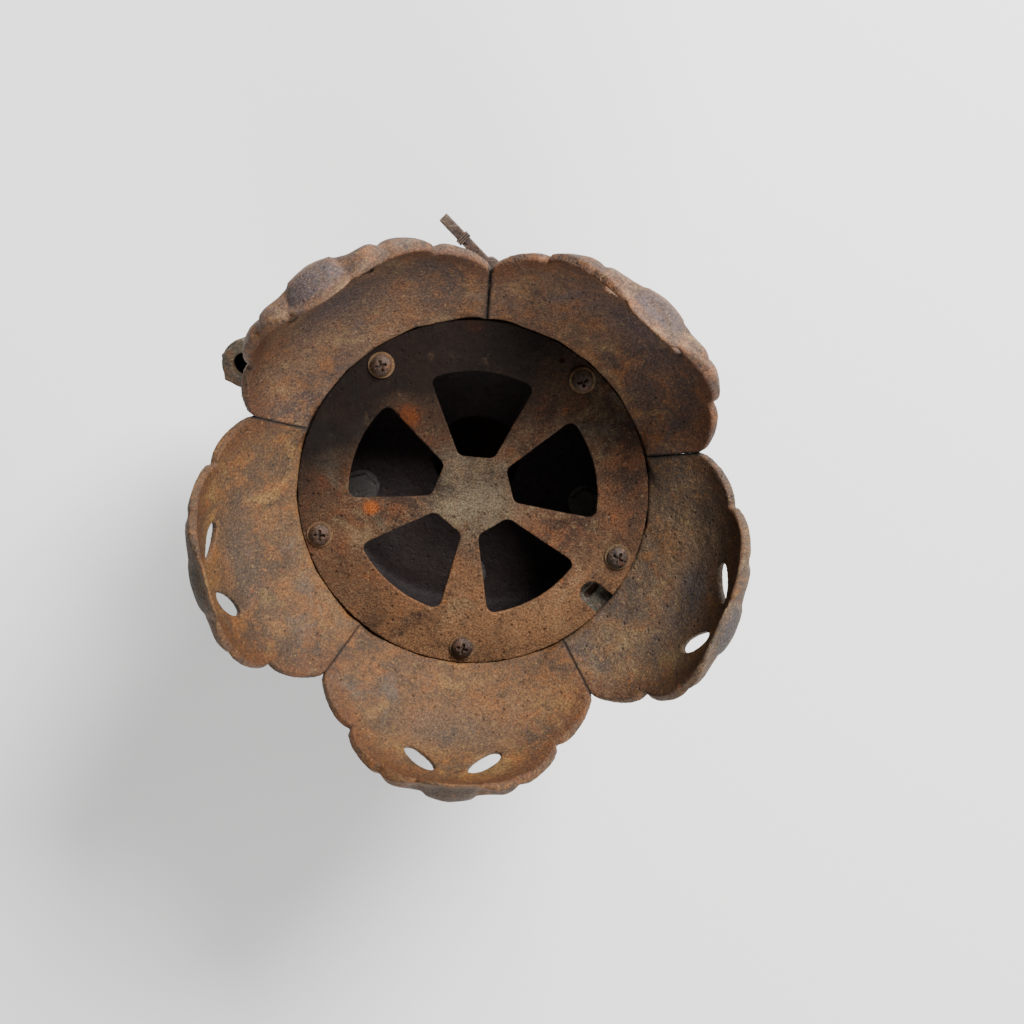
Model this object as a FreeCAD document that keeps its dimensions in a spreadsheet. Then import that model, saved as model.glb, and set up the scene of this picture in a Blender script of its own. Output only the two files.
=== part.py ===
"""Flower-form bulb planter: a petal cup over a pierced plate, a bulb-shaped pot, a column and a foot.

Frame: +Z up along the planter's axis, origin on that axis at the foot's resting plane.
Angles are counted anticlockwise from +X. Lengths are in millimetres.
"""
import FreeCAD, Part
import math
import os

import Sketcher

V = FreeCAD.Vector
Z_AXIS = V(0, 0, 1)
ORIGIN_POINT = (-1, 1)  # geometry number and point number of a sketch's origin
X_LINE, Y_LINE = -1, -2  # geometry numbers of a sketch's own axes

DIMENSIONS = {
    # how far cuts run
    "cut_length": 600, "overrun": 5,
    # levels of the stack, from the foot up
    "foot_edge_top": 5, "foot_top": 26, "column_base_top": 32, "column_well": 31,
    "column_bead_low": 52, "column_bead_high": 62, "column_head_bottom": 84.5, "column_top": 90.5,
    "floor_bottom": 92, "floor_top": 97, "flange_bottom": 166, "belly_top": 167, "ring_bottom": 171,
    "ring_top": 174, "plate_bottom": 178, "plate_top": 180, "petal_block_top": 252,
    # foot and column
    "foot_radius": 75, "foot_neck_radius": 48, "foot_dome_radius": 55, "column_base_radius": 46,
    "column_radius": 27, "column_bore_radius": 20.5, "column_head_radius": 68, "bead_radius": 7,
    "base_bolt_circle": 36.5, "base_bolt_count": 4,
    # pot
    "floor_radius": 77, "chamber_radius": 72.3, "flange_radius": 86, "flange_bore_radius": 64,
    "belly_arc": 51.5, "chamber_arc": 47.5, "neck_radius": 81.5,
    "floor_bolt_circle": 58, "floor_bolt_count": 5, "gasket_bore_radius": 22, "gasket_radius": 68,
    # pierced plate and seat ring
    "plate_radius": 79, "ring_radius": 86, "ring_bore_radius": 62, "screw_circle": 71.5,
    "window_outer": 56, "window_inner": 19, "window_half_angle": 24.5, "window_angle": 85,
    "window_corner": 3.6, "window_count": 5, "notch_angle": -40.5, "notch_width": 11,
    "notch_depth": 13.5, "notch_reach": 95, "slot_circle": 71, "slot_length": 9, "slot_width": 3,
    "spare_hole_circle": 73, "spare_hole_angle": 57, "spare_hole_radius": 1.2,
    # petals
    "petal_span": 71, "petal_base_radius": 86, "petal_root_radius": 79.5,
    "valley_radius": 98, "valley_level": 194, "bowl_arc": 43.75, "rim_radius": 109,
    "shell_arc": 48.25, "shell_tip_radius": 114.2, "shell_foot_radius": 100.7,
    "shell_foot_level": 190.4, "cavity_core": 60, "cavity_top": 275,
    "ear_half_width": 57.5, "ear_level": 196, "outer_notch_half_width": 46, "outer_notch_level": 211,
    "middle_notch_half_width": 31, "middle_notch_level": 233, "inner_notch_half_width": 15,
    "inner_notch_level": 243, "ear_lobe_arc": 11.5, "outer_lobe_arc": 16, "inner_lobe_arc": 11.5,
    "crown_arc": 19, "trim_half_width": 90, "trim_top": 275,
    "eye_offset": 14.4, "eye_level": 216, "eye_half_length": 13, "eye_half_width": 4.4,
    "eye_tilt": 25, "eye_slope": 45, "eye_reach": 113.5,
    "lug_inner": 63, "lug_outer": 83, "lug_half_width": 12,
    # fasteners
    "screw_radius": 2.5, "screw_hole_radius": 2.75, "tapped_hole_radius": 2.55,
    "screw_end": 161, "screw_head_radius": 4.75, "screw_head_height": 3.3, "screw_dome_radius": 6.4,
    "recess_width": 1.3,
    "recess_length": 5.2, "recess_depth": 1.8,
    "screw_turn": 2.3, "washer_radius": 5.9, "washer_thickness": 0.9,
    "bolt_radius": 4, "bolt_thread_radius": 4.05, "bolt_hole_radius": 4.3, "bolt_hex_radius": 7.5,
    "bolt_head_height": 5.3,
    "bolt_washer_radius": 8.5, "bolt_washer_thickness": 1.6, "nut_height": 6.5,
    "floor_bolt_end": 74, "base_bolt_end": 12, "base_bolt_tip": 13,
    # filler pipe
    "filler_angle": 155.4, "filler_level": 106, "filler_mouth_radius": 119.5,
    "pipe_radius": 8, "pipe_bore": 6, "pipe_fit_radius": 8.05, "elbow_radius": 10.5,
    "elbow_start": 102.5, "elbow_arm_radius": 9.5, "elbow_heel": 92, "elbow_heel_radius": 7.5,
    "elbow_bottom": 95, "elbow_sump": 98, "elbow_bore": 6.8, "socket_radius": 12,
    "socket_length": 4.5, "socket_depth": 4,
    "nipple_start": 80, "nipple_end": 109, "boss_radius": 13, "boss_inner": 85,
    "boss_outer": 97, "port_start": 77, "elbow_top": 116, "hex_radius": 12.2, "hex_height": 5,
    "locknut_radius": 12.2, "locknut_height": 3.2, "seal_radius": 11, "seal_bore": 8.3,
    "seal_thickness": 1.2,
    # tie arm
    "pivot_angle": 85.4, "pivot_circle": 100.2,
    "tie_lug_root": 92.2, "tie_lug_bottom": 147, "tie_lug_top": 153.5,
    "tie_eye_radius": 4.4, "arm_bottom": 153.8, "arm_thickness": 4.5, "arm_length": 31,
    "arm_angle": 133.7, "pin_radius": 2, "pin_hole_radius": 2.05, "pin_head_radius": 3.6,
    "pin_head_height": 1.8, "pin_tail": 145, "pin_tail_radius": 3.2, "pin_head_level": 158.5,
    "wire_radius": 0.45, "wire_station": 17.7, "wire_turns": 3, "wire_pitch": 1.0,
}

# each petal's middle and the screw through its lug; the castings were fitted by hand
PETAL_ANGLES = (48.6, 122.0, 193.7, 265.3, 336.8)
SCREW_ANGLES = (46.8, 124.3, 194.6, 265.9, 336.4)
FLOOR_BOLT_START = 50
BASE_BOLT_START = 45

# swollen lobes on each petal's back: centre (outward, sideways, up), half sizes, sideways lean
RELIEF_LOBES = (
    ((111.5, 0, 222), (11.5, 15.5, 27), 0),
    ((108, 22, 214), (11.5, 9.5, 25), 12),
    ((99.5, 37, 205), (12.5, 9, 21), 25),
)

doc = FreeCAD.newDocument("bulb_planter")
sheet = doc.addObject("Spreadsheet::Sheet", "Dims")
for row, (alias, value) in enumerate(DIMENSIONS.items(), start=1):
    sheet.set(f"A{row}", alias)
    sheet.set(f"B{row}", str(value))
    sheet.setAlias(f"B{row}", alias)
doc.recompute()


def dim(name):
    """A cell's value; a leading minus sign gives its negative."""
    if name == "0":
        return 0.0
    if name.startswith("-"):
        return -float(sheet.get(name[1:]))
    return float(sheet.get(name))


def bind(item, **properties):
    """Tie an object's properties to expressions on the sheet."""
    for name, expression in properties.items():
        item.setExpression(name, expression)


def turned(angle, radius=0.0, level=0.0):
    """Placement at an angle round the planter's axis, facing outwards."""
    turn = FreeCAD.Rotation(Z_AXIS, angle)
    return FreeCAD.Placement(turn.multVec(V(radius, 0, level)), turn)


def new_body(name):
    body = doc.addObject("PartDesign::Body", name)
    body.Label = name
    return body


def new_sketch(body, name, role, level=None):
    """A sketch on one of the body's origin planes, lifted to a level when one is given."""
    sketch = body.newObject("Sketcher::SketchObject", name)
    plane = next(item for item in body.Origin.OriginFeatures if item.Role == role)
    sketch.AttachmentSupport = [(plane, "")]
    sketch.MapMode = "FlatFace"
    if level:
        sketch.setExpression("AttachmentOffset.Base.z", f"Dims.{level}")
    return sketch


def pin_coordinate(sketch, segment, point, name, kind, line):
    """Hold one coordinate of a sketch point at a cell's value."""
    if name == "0":
        sketch.addConstraint(Sketcher.Constraint("PointOnObject", segment, point, line))
        return
    ends = [ORIGIN_POINT, (segment, point)]
    if name.startswith("-"):
        ends.reverse()
    number = sketch.addConstraint(Sketcher.Constraint(kind, *ends[0], *ends[1], abs(dim(name))))
    sketch.setExpression(f"Constraints[{number}]", f"Dims.{name.lstrip('-')}")


def arc_between(start, end, radius):
    """Minor arc joining two points; a positive radius bulges to the right of the way."""
    if radius < 0:
        return arc_between(end, start, -radius)
    chord = end - start
    half = chord.Length / 2
    side = V(chord.y, -chord.x, 0).normalize()
    centre = (start + end) / 2 - side * math.sqrt(radius * radius - half * half)
    angles = [math.atan2(point.y - centre.y, point.x - centre.x) for point in (start, end)]
    if angles[1] < angles[0]:
        angles[1] += 2 * math.pi
    return Part.ArcOfCircle(Part.Circle(centre, Z_AXIS, radius), *angles)


def draw_outline(sketch, corners, bends=None):
    """Closed outline through corners named by cells; bends gives the sides that are arcs."""
    bends = bends or {}
    points = [V(dim(u), dim(v), 0) for u, v in corners]
    count = len(points)
    for index, start in enumerate(points):
        end = points[(index + 1) % count]
        if index in bends:
            sketch.addGeometry(arc_between(start, end, dim(bends[index])), False)
        else:
            sketch.addGeometry(Part.LineSegment(start, end), False)
    backward = [bends.get(index, "").startswith("-") for index in range(count)]
    for index in range(count):
        before = (index - 1) % count
        first = 2 if backward[index] else 1
        last = 1 if backward[before] else 2
        sketch.addConstraint(Sketcher.Constraint("Coincident", before, last, index, first))
        pin_coordinate(sketch, index, first, corners[index][0], "DistanceX", Y_LINE)
        pin_coordinate(sketch, index, first, corners[index][1], "DistanceY", X_LINE)
    for index, radius in bends.items():
        number = sketch.addConstraint(Sketcher.Constraint("Radius", index, abs(dim(radius))))
        sketch.setExpression(f"Constraints[{number}]", f"Dims.{radius.lstrip('-')}")


def draw_circle(sketch, radius, centre=V(0, 0, 0)):
    """Circle whose radius follows a cell."""
    index = sketch.addGeometry(Part.Circle(centre, Z_AXIS, dim(radius)), False)
    number = sketch.addConstraint(Sketcher.Constraint("Radius", index, dim(radius)))
    sketch.setExpression(f"Constraints[{number}]", f"Dims.{radius}")
    if centre.Length == 0:
        sketch.addConstraint(Sketcher.Constraint("Coincident", index, 3, *ORIGIN_POINT))


def revolve(body, name, corners, bends=None, kind="Revolution", angle=None):
    """Turn a radius-and-height outline about the body's Z axis."""
    sketch = new_sketch(body, f"{name}_section", "XZ_Plane")
    draw_outline(sketch, corners, bends)
    turn = body.newObject(f"PartDesign::{kind}", name)
    turn.Profile = sketch
    turn.ReferenceAxis = (sketch, ["V_Axis"])
    turn.Midplane = True
    turn.Angle = 360
    if angle:
        turn.setExpression("Angle", f"Dims.{angle}")
    return turn


def pad(body, name, sketch, length, kind="Pad", both_ways=False):
    """Pad or pocket a sketch by an expression's length."""
    feature = body.newObject(f"PartDesign::{kind}", name)
    feature.Profile = sketch
    feature.Midplane = both_ways
    feature.setExpression("Length", length)
    return feature


def through_cut(body, name, sketch):
    """Pocket that runs right through the body both ways from its sketch."""
    feature = body.newObject("PartDesign::Pocket", name)
    feature.Profile = sketch
    feature.Midplane = True
    bind(feature, Length="Dims.cut_length")
    return feature


def drill(body, name, radius, circle, angles):
    """Round holes along Z at the given angles on a circle."""
    sketch = new_sketch(body, f"{name}_marks", "XY_Plane")
    for angle in angles:
        draw_circle(sketch, radius, turned(angle, dim(circle)).Base)
    return through_cut(body, name, sketch)


def repeat_round(body, name, feature, count):
    """Polar pattern of one feature about the planter's axis."""
    pattern = body.newObject("PartDesign::PolarPattern", name)
    pattern.Originals = [feature]
    sketch = feature.Profile[0]
    pattern.Axis = (sketch, ["N_Axis"])
    pattern.Angle = 360
    pattern.Occurrences = int(dim(count))
    body.Tip = pattern
    return pattern


def evenly(count, first=0.0):
    return [first + 360 * step / count for step in range(int(count))]


def make_petal(number, middle, screw_angle):
    """One cast petal: a scooped shell with a scalloped rim, two slanting eyes and a fixing lug."""
    body = new_body(f"petal_{number}")
    revolve(body, "block", [
        ("petal_root_radius", "ring_top"), ("petal_base_radius", "ring_top"),
        ("shell_foot_radius", "shell_foot_level"), ("shell_tip_radius", "petal_block_top"),
        ("petal_root_radius", "petal_block_top")], {2: "shell_arc"}, angle="petal_span")
    for centre, half_sizes, lean in RELIEF_LOBES:
        for sign in (1, -1) if centre[1] else (1,):
            lobe = body.newObject("PartDesign::AdditiveEllipsoid", "lobe")
            lobe.Radius2, lobe.Radius3, lobe.Radius1 = half_sizes
            lobe.Placement = FreeCAD.Placement(V(centre[0], sign * centre[1], centre[2]),
                                               FreeCAD.Rotation(V(1, 0, 0), -sign * lean))
    revolve(body, "bowl", [
        ("cavity_core", "plate_top"), ("petal_root_radius", "plate_top"),
        ("valley_radius", "valley_level"), ("rim_radius", "petal_block_top"),
        ("rim_radius", "cavity_top"), ("cavity_core", "cavity_top")],
        {2: "bowl_arc"}, kind="Groove")
    rim = new_sketch(body, "rim_outline", "YZ_Plane")
    right = [
        ("inner_notch_half_width", "inner_notch_level"),
        ("middle_notch_half_width", "middle_notch_level"),
        ("outer_notch_half_width", "outer_notch_level"), ("ear_half_width", "ear_level")]
    left = [(f"-{across}", level) for across, level in reversed(right)]
    draw_outline(rim, left + right + [
        ("trim_half_width", "ear_level"), ("trim_half_width", "trim_top"),
        ("-trim_half_width", "trim_top"), ("-trim_half_width", "ear_level")],
        {0: "-ear_lobe_arc", 1: "-outer_lobe_arc", 2: "-inner_lobe_arc", 3: "-crown_arc",
         4: "-inner_lobe_arc", 5: "-outer_lobe_arc", 6: "-ear_lobe_arc"})
    through_cut(body, "scalloped_rim", rim)
    eyes = new_sketch(body, "eye_outline", "YZ_Plane")
    slope = math.radians(dim("eye_slope"))
    start_level = dim("eye_level") + dim("eye_reach") * math.tan(slope)
    for sign in (1, -1):
        centre = V(sign * dim("eye_offset"), start_level, 0)
        tilt = math.radians(90 + sign * dim("eye_tilt"))
        along = V(math.cos(tilt), math.sin(tilt), 0)
        across = V(-along.y, along.x, 0)
        eyes.addGeometry(Part.Ellipse(centre + along * dim("eye_half_length"),
                                      centre + across * dim("eye_half_width"), centre), False)
    cut = through_cut(body, "eyes", eyes)
    cut.UseCustomVector = True
    cut.Direction = V(math.cos(slope), 0, -math.sin(slope))
    lug = new_sketch(body, "lug_outline", "XY_Plane", "ring_top")
    draw_outline(lug, [("lug_inner", "-lug_half_width"), ("lug_outer", "-lug_half_width"),
                       ("lug_outer", "lug_half_width"), ("lug_inner", "lug_half_width")])
    pad(body, "lug", lug, "Dims.plate_bottom - Dims.ring_top")
    drill(body, "lug_hole", "screw_hole_radius", "screw_circle", [screw_angle - middle])
    body.Placement = turned(middle)
    return body


def make_drain_plate():
    """Pierced plate: five windows, an open notch in its edge and a spare hole."""
    body = new_body("drain_plate")
    disc = new_sketch(body, "disc_outline", "XY_Plane", "plate_bottom")
    draw_circle(disc, "plate_radius")
    pad(body, "disc", disc, "Dims.plate_top - Dims.plate_bottom")
    half = math.radians(dim("window_half_angle"))
    middle = math.radians(dim("window_angle"))
    corners = []
    for radius, angle in (("window_inner", middle - half), ("window_outer", middle - half),
                          ("window_outer", middle + half), ("window_inner", middle + half)):
        corners.append(V(dim(radius) * math.cos(angle), dim(radius) * math.sin(angle), 0))
    crown = V(math.cos(middle), math.sin(middle), 0) * dim("window_outer")
    window = new_sketch(body, "window_outline", "XY_Plane")
    window.addGeometry(Part.LineSegment(corners[0], corners[1]), False)
    window.addGeometry(Part.Arc(corners[1], crown, corners[2]), False)
    window.addGeometry(Part.LineSegment(corners[2], corners[3]), False)
    window.addGeometry(Part.LineSegment(corners[3], corners[0]), False)
    first = through_cut(body, "window", window)
    pattern = repeat_round(body, "windows", first, "window_count")
    doc.recompute()
    window_reach = dim("window_outer") + dim("overrun")
    upright = [f"Edge{index}" for index, edge in enumerate(pattern.Shape.Edges, start=1)
               if len(edge.Vertexes) == 2 and edge.Vertexes[0].Point.z != edge.Vertexes[1].Point.z
               and math.hypot(edge.Vertexes[0].X, edge.Vertexes[0].Y) < window_reach]
    rounding = body.newObject("PartDesign::Fillet", "window_corners")
    rounding.Base = (pattern, upright)
    bind(rounding, Radius="Dims.window_corner")
    drill(body, "screw_holes", "screw_hole_radius", "screw_circle", SCREW_ANGLES)
    drill(body, "spare_hole", "spare_hole_radius", "spare_hole_circle", [dim("spare_hole_angle")])
    notch = new_sketch(body, "notch_outline", "XY_Plane")
    half_width = dim("notch_width") / 2
    depth = dim("plate_radius") - dim("notch_depth") + half_width
    reach = dim("notch_reach")
    spots = [(depth, half_width), (reach, half_width), (reach, -half_width),
             (depth, -half_width)]
    turn = turned(dim("notch_angle"))
    points = [turn.multVec(V(x, y, 0)) for x, y in spots]
    for start, end in zip(points, points[1:]):
        notch.addGeometry(Part.LineSegment(start, end), False)
    bottom = turn.multVec(V(depth - half_width, 0, 0))
    notch.addGeometry(Part.Arc(points[3], bottom, points[0]), False)
    through_cut(body, "edge_notch", notch)
    return body


def make_seat_ring():
    """Flat ring that spreads the petals' weight over the pot's flange, with five slots."""
    body = new_body("seat_ring")
    flat = new_sketch(body, "ring_outline", "XY_Plane", "ring_bottom")
    draw_circle(flat, "ring_radius")
    draw_circle(flat, "ring_bore_radius")
    pad(body, "ring", flat, "Dims.ring_top - Dims.ring_bottom")
    slot = new_sketch(body, "slot_outline", "XY_Plane")
    half_width = dim("slot_width") / 2
    reach = dim("slot_length") / 2 - half_width
    turn = turned(dim("notch_angle"), dim("slot_circle"))
    right = [turn.multVec(V(half_width, y, 0)) for y in (-reach, reach)]
    left = [turn.multVec(V(-half_width, y, 0)) for y in (reach, -reach)]
    slot.addGeometry(Part.LineSegment(right[0], right[1]), False)
    slot.addGeometry(Part.Arc(right[1], turn.multVec(V(0, reach + half_width, 0)), left[0]), False)
    slot.addGeometry(Part.LineSegment(left[0], left[1]), False)
    slot.addGeometry(Part.Arc(left[1], turn.multVec(V(0, -reach - half_width, 0)), right[0]), False)
    first = through_cut(body, "slot", slot)
    repeat_round(body, "slots", first, "window_count")
    drill(body, "ring_screw_holes", "screw_hole_radius", "screw_circle", SCREW_ANGLES)
    return body


def make_pot_body():
    """Bulb-shaped pot with a flanged mouth, a bolted floor, a filler boss and the tie arm's lug."""
    body = new_body("pot_body")
    revolve(body, "pot_shell", [
        ("column_bore_radius", "floor_bottom"), ("floor_radius", "floor_bottom"),
        ("flange_radius", "belly_top"), ("flange_radius", "ring_bottom"),
        ("flange_bore_radius", "ring_bottom"), ("flange_bore_radius", "flange_bottom"),
        ("neck_radius", "flange_bottom"), ("chamber_radius", "floor_top"),
        ("column_bore_radius", "floor_top")], {1: "belly_arc", 6: "-chamber_arc"})
    outward = turned(dim("filler_angle"), dim("boss_inner"), dim("filler_level"))
    along = FreeCAD.Rotation(Z_AXIS, outward.Rotation.multVec(V(1, 0, 0)))
    boss = body.newObject("PartDesign::AdditiveCylinder", "filler_boss")
    boss.Placement = FreeCAD.Placement(outward.Base, along)
    bind(boss, Radius="Dims.boss_radius", Height="Dims.boss_outer - Dims.boss_inner")
    port = body.newObject("PartDesign::SubtractiveCylinder", "filler_port")
    start = turned(dim("filler_angle"), dim("port_start"), dim("filler_level")).Base
    port.Placement = FreeCAD.Placement(start, along)
    bind(port, Radius="Dims.pipe_fit_radius", Height="Dims.boss_outer - Dims.port_start + Dims.overrun")
    lug = new_sketch(body, "tie_lug_outline", "XY_Plane", "tie_lug_bottom")
    width = dim("tie_eye_radius")
    turn = turned(dim("pivot_angle"))
    inner, outer = dim("tie_lug_root"), dim("pivot_circle")
    spots = [turn.multVec(V(x, y, 0)) for x, y in
             ((outer, width), (inner, width), (inner, -width), (outer, -width))]
    for start_point, end_point in zip(spots, spots[1:]):
        lug.addGeometry(Part.LineSegment(start_point, end_point), False)
    tip = turn.multVec(V(outer + width, 0, 0))
    lug.addGeometry(Part.Arc(spots[3], tip, spots[0]), False)
    pad(body, "tie_lug", lug, "Dims.tie_lug_top - Dims.tie_lug_bottom")
    drill(body, "flange_holes", "tapped_hole_radius", "screw_circle", SCREW_ANGLES)
    drill(body, "floor_holes", "bolt_hole_radius", "floor_bolt_circle",
          evenly(dim("floor_bolt_count"), FLOOR_BOLT_START))
    drill(body, "tie_pin_hole", "pin_hole_radius", "pivot_circle", [dim("pivot_angle")])
    return body


def make_gasket():
    """Flat seal between the pot's floor and the column's head."""
    body = new_body("floor_gasket")
    flat = new_sketch(body, "gasket_outline", "XY_Plane", "column_top")
    draw_circle(flat, "gasket_radius")
    draw_circle(flat, "gasket_bore_radius")
    pad(body, "gasket", flat, "Dims.floor_bottom - Dims.column_top")
    drill(body, "gasket_holes", "bolt_hole_radius", "floor_bolt_circle",
          evenly(dim("floor_bolt_count"), FLOOR_BOLT_START))
    return body


def make_column():
    """Hollow column, open at its head and closed at its base, with a bead round its middle."""
    body = new_body("column")
    revolve(body, "column_shell", [
        ("0", "foot_top"), ("column_base_radius", "foot_top"),
        ("column_base_radius", "column_base_top"), ("column_radius", "column_base_top"),
        ("column_radius", "column_bead_low"), ("column_radius", "column_bead_high"),
        ("column_radius", "column_head_bottom"), ("column_head_radius", "column_head_bottom"),
        ("column_head_radius", "column_top"), ("column_bore_radius", "column_top"),
        ("column_bore_radius", "column_well"), ("0", "column_well")], {4: "bead_radius"})
    drill(body, "head_holes", "bolt_hole_radius", "floor_bolt_circle",
          evenly(dim("floor_bolt_count"), FLOOR_BOLT_START))
    drill(body, "base_holes", "bolt_hole_radius", "base_bolt_circle",
          evenly(dim("base_bolt_count"), BASE_BOLT_START))
    return body


def make_foot():
    """Domed foot, tapped for the column's four bolts."""
    body = new_body("foot")
    revolve(body, "foot_dome", [
        ("0", "0"), ("foot_radius", "0"), ("foot_radius", "foot_edge_top"),
        ("foot_neck_radius", "foot_top"), ("0", "foot_top")], {2: "foot_dome_radius"})
    holes = new_sketch(body, "base_bolt_marks", "XY_Plane", "base_bolt_end")
    for angle in evenly(dim("base_bolt_count"), BASE_BOLT_START):
        spot = turned(angle, dim("base_bolt_circle")).Base
        holes.addGeometry(Part.Circle(spot, Z_AXIS, dim("bolt_thread_radius")), False)
    cut = pad(body, "base_bolt_holes", holes, "Dims.foot_top - Dims.base_bolt_end + Dims.overrun", "Pocket")
    cut.Reversed = True
    return body


def primitive(kind, name, place=None, **expressions):
    """A Part primitive with its sizes on the sheet."""
    item = doc.addObject(f"Part::{kind}", name)
    bind(item, **expressions)
    if place:
        item.Placement = place
    return item


def at(level, radius=0.0):
    return FreeCAD.Placement(V(radius, 0, level), FreeCAD.Rotation())


def boolean(kind, name, base, tool):
    item = doc.addObject(f"Part::{kind}", name)
    item.Base = base
    item.Tool = tool
    return item


def tube(name, place, radius, bore, height):
    """A plain ring or tube as a cut of two cylinders."""
    outside = primitive("Cylinder", f"{name}_outside", place, Radius=radius, Height=height)
    inside = primitive("Cylinder", f"{name}_inside", place, Radius=bore, Height=height)
    return boolean("Cut", name, outside, inside)


def group(name, pattern, places):
    """Separate copies of one piece, kept together as one node."""
    doc.recompute()
    copies = []
    for place in places:
        copy = pattern.Shape.copy()
        copy.Placement = place.multiply(copy.Placement)
        copies.append(copy)
    item = doc.addObject("Part::Feature", name)
    item.Label = name
    item.Shape = Part.makeCompound(copies)
    return item


def make_plate_screws():
    """Five pan-head screws with cross recesses, down through plate, lug and ring into the pot."""
    seat = dim("plate_top") + dim("washer_thickness")
    shank = primitive("Cylinder", "screw_shank", at(dim("screw_end")), Radius="Dims.screw_radius",
                      Height="Dims.plate_top + Dims.washer_thickness - Dims.screw_end")
    head = primitive("Cylinder", "screw_pan", at(seat), Radius="Dims.screw_head_radius",
                     Height="Dims.screw_head_height")
    dome_radius = dim("screw_dome_radius")
    dome = doc.addObject("Part::Sphere", "screw_dome")
    dome.Radius = dome_radius
    dome.Placement = at(seat + dim("screw_head_height") - dome_radius)
    pan = boolean("Common", "screw_head", head, dome)
    blank = boolean("Fuse", "screw_blank", shank, pan)
    for index, (length, width) in enumerate((("recess_length", "recess_width"),
                                             ("recess_width", "recess_length"))):
        corner = V(-dim(length) / 2, -dim(width) / 2, seat + dim("screw_head_height")
                   - dim("recess_depth"))
        slot = primitive("Box", f"recess_{index}", FreeCAD.Placement(corner, FreeCAD.Rotation()),
                         Length=f"Dims.{length}", Width=f"Dims.{width}",
                         Height="Dims.recess_depth + Dims.overrun")
        blank = boolean("Cut", f"screw_recessed_{index}", blank, slot)
    places = [FreeCAD.Placement(turned(angle, dim("screw_circle")).Base,
                                FreeCAD.Rotation(Z_AXIS, angle * dim("screw_turn")))
              for angle in SCREW_ANGLES]
    return group("plate_screws", blank, places)


def make_plate_washers():
    ring = tube("plate_washer", at(dim("plate_top")), "Dims.washer_radius",
                "Dims.screw_hole_radius", "Dims.washer_thickness")
    return group("plate_washers", ring,
                 [turned(angle, dim("screw_circle")) for angle in SCREW_ANGLES])


def make_bolt_set(prefix, seat, end, places, nut_top=None):
    """Hex bolts with washers, and nuts below when there is a level for them."""
    hexagon = f"{prefix}_bolt_head"
    top = seat + dim("bolt_washer_thickness")
    head = primitive("Prism", hexagon, at(top), Circumradius="Dims.bolt_hex_radius",
                     Height="Dims.bolt_head_height")
    head.Polygon = 6
    shank = doc.addObject("Part::Cylinder", f"{prefix}_bolt_shank")
    shank.setExpression("Radius", "Dims.bolt_radius")
    shank.Height = top - end
    shank.Placement = at(end)
    bolt = boolean("Fuse", f"{prefix}_bolt", head, shank)
    washer = tube(f"{prefix}_washer", at(seat), "Dims.bolt_washer_radius",
                  "Dims.bolt_hole_radius", "Dims.bolt_washer_thickness")
    made = [group(f"{prefix}_bolts", bolt, places), group(f"{prefix}_washers", washer, places)]
    if nut_top:
        nut_place = at(nut_top - dim("nut_height"))
        blank = primitive("Prism", f"{prefix}_nut_blank", nut_place,
                          Circumradius="Dims.bolt_hex_radius", Height="Dims.nut_height")
        blank.Polygon = 6
        thread = primitive("Cylinder", f"{prefix}_nut_thread", nut_place,
                           Radius="Dims.bolt_thread_radius", Height="Dims.nut_height")
        nut = boolean("Cut", f"{prefix}_nut", blank, thread)
        made.append(group(f"{prefix}_nuts", nut, places))
    return made


def radial(level, start):
    """Placement whose Z axis runs outwards along the filler pipe."""
    base = turned(dim("filler_angle"), start, level)
    outward = base.Rotation.multVec(V(1, 0, 0))
    return FreeCAD.Placement(base.Base, FreeCAD.Rotation(Z_AXIS, outward))


def make_filler():
    """Filler pipe at the pot's side: nipple, locknut, seal, elbow and the hexagon mouth bushing."""
    level = dim("filler_level")
    nipple = tube("filler_nipple", radial(level, dim("nipple_start")), "Dims.pipe_radius",
                  "Dims.pipe_bore", "Dims.nipple_end - Dims.nipple_start")
    seal = tube("filler_seal", radial(level, dim("boss_outer")), "Dims.seal_radius",
                "Dims.seal_bore", "Dims.seal_thickness")
    nut_place = radial(level, dim("boss_outer") + dim("seal_thickness"))
    blank = primitive("Prism", "locknut_blank", nut_place, Circumradius="Dims.locknut_radius",
                      Height="Dims.locknut_height")
    blank.Polygon = 6
    thread = primitive("Cylinder", "locknut_thread", nut_place, Radius="Dims.pipe_fit_radius",
                       Height="Dims.locknut_height")
    locknut = boolean("Cut", "filler_locknut", blank, thread)
    mouth = turned(dim("filler_angle"), dim("filler_mouth_radius"), dim("elbow_top"))
    hexagon = primitive("Prism", "bushing_hexagon", mouth, Circumradius="Dims.hex_radius",
                        Height="Dims.hex_height")
    hexagon.Polygon = 6
    spigot_place = turned(dim("filler_angle"), dim("filler_mouth_radius"),
                          dim("elbow_top") - dim("socket_depth"))
    spigot = primitive("Cylinder", "bushing_spigot", spigot_place, Radius="Dims.pipe_radius",
                       Height="Dims.socket_depth")
    blank = boolean("Fuse", "bushing_blank", hexagon, spigot)
    bore = primitive("Cylinder", "bushing_bore", spigot_place, Radius="Dims.pipe_bore",
                     Height="Dims.hex_height + Dims.socket_depth")
    bushing = boolean("Cut", "filler_bushing", blank, bore)
    return [nipple, seal, locknut, bushing, make_elbow()]


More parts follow.
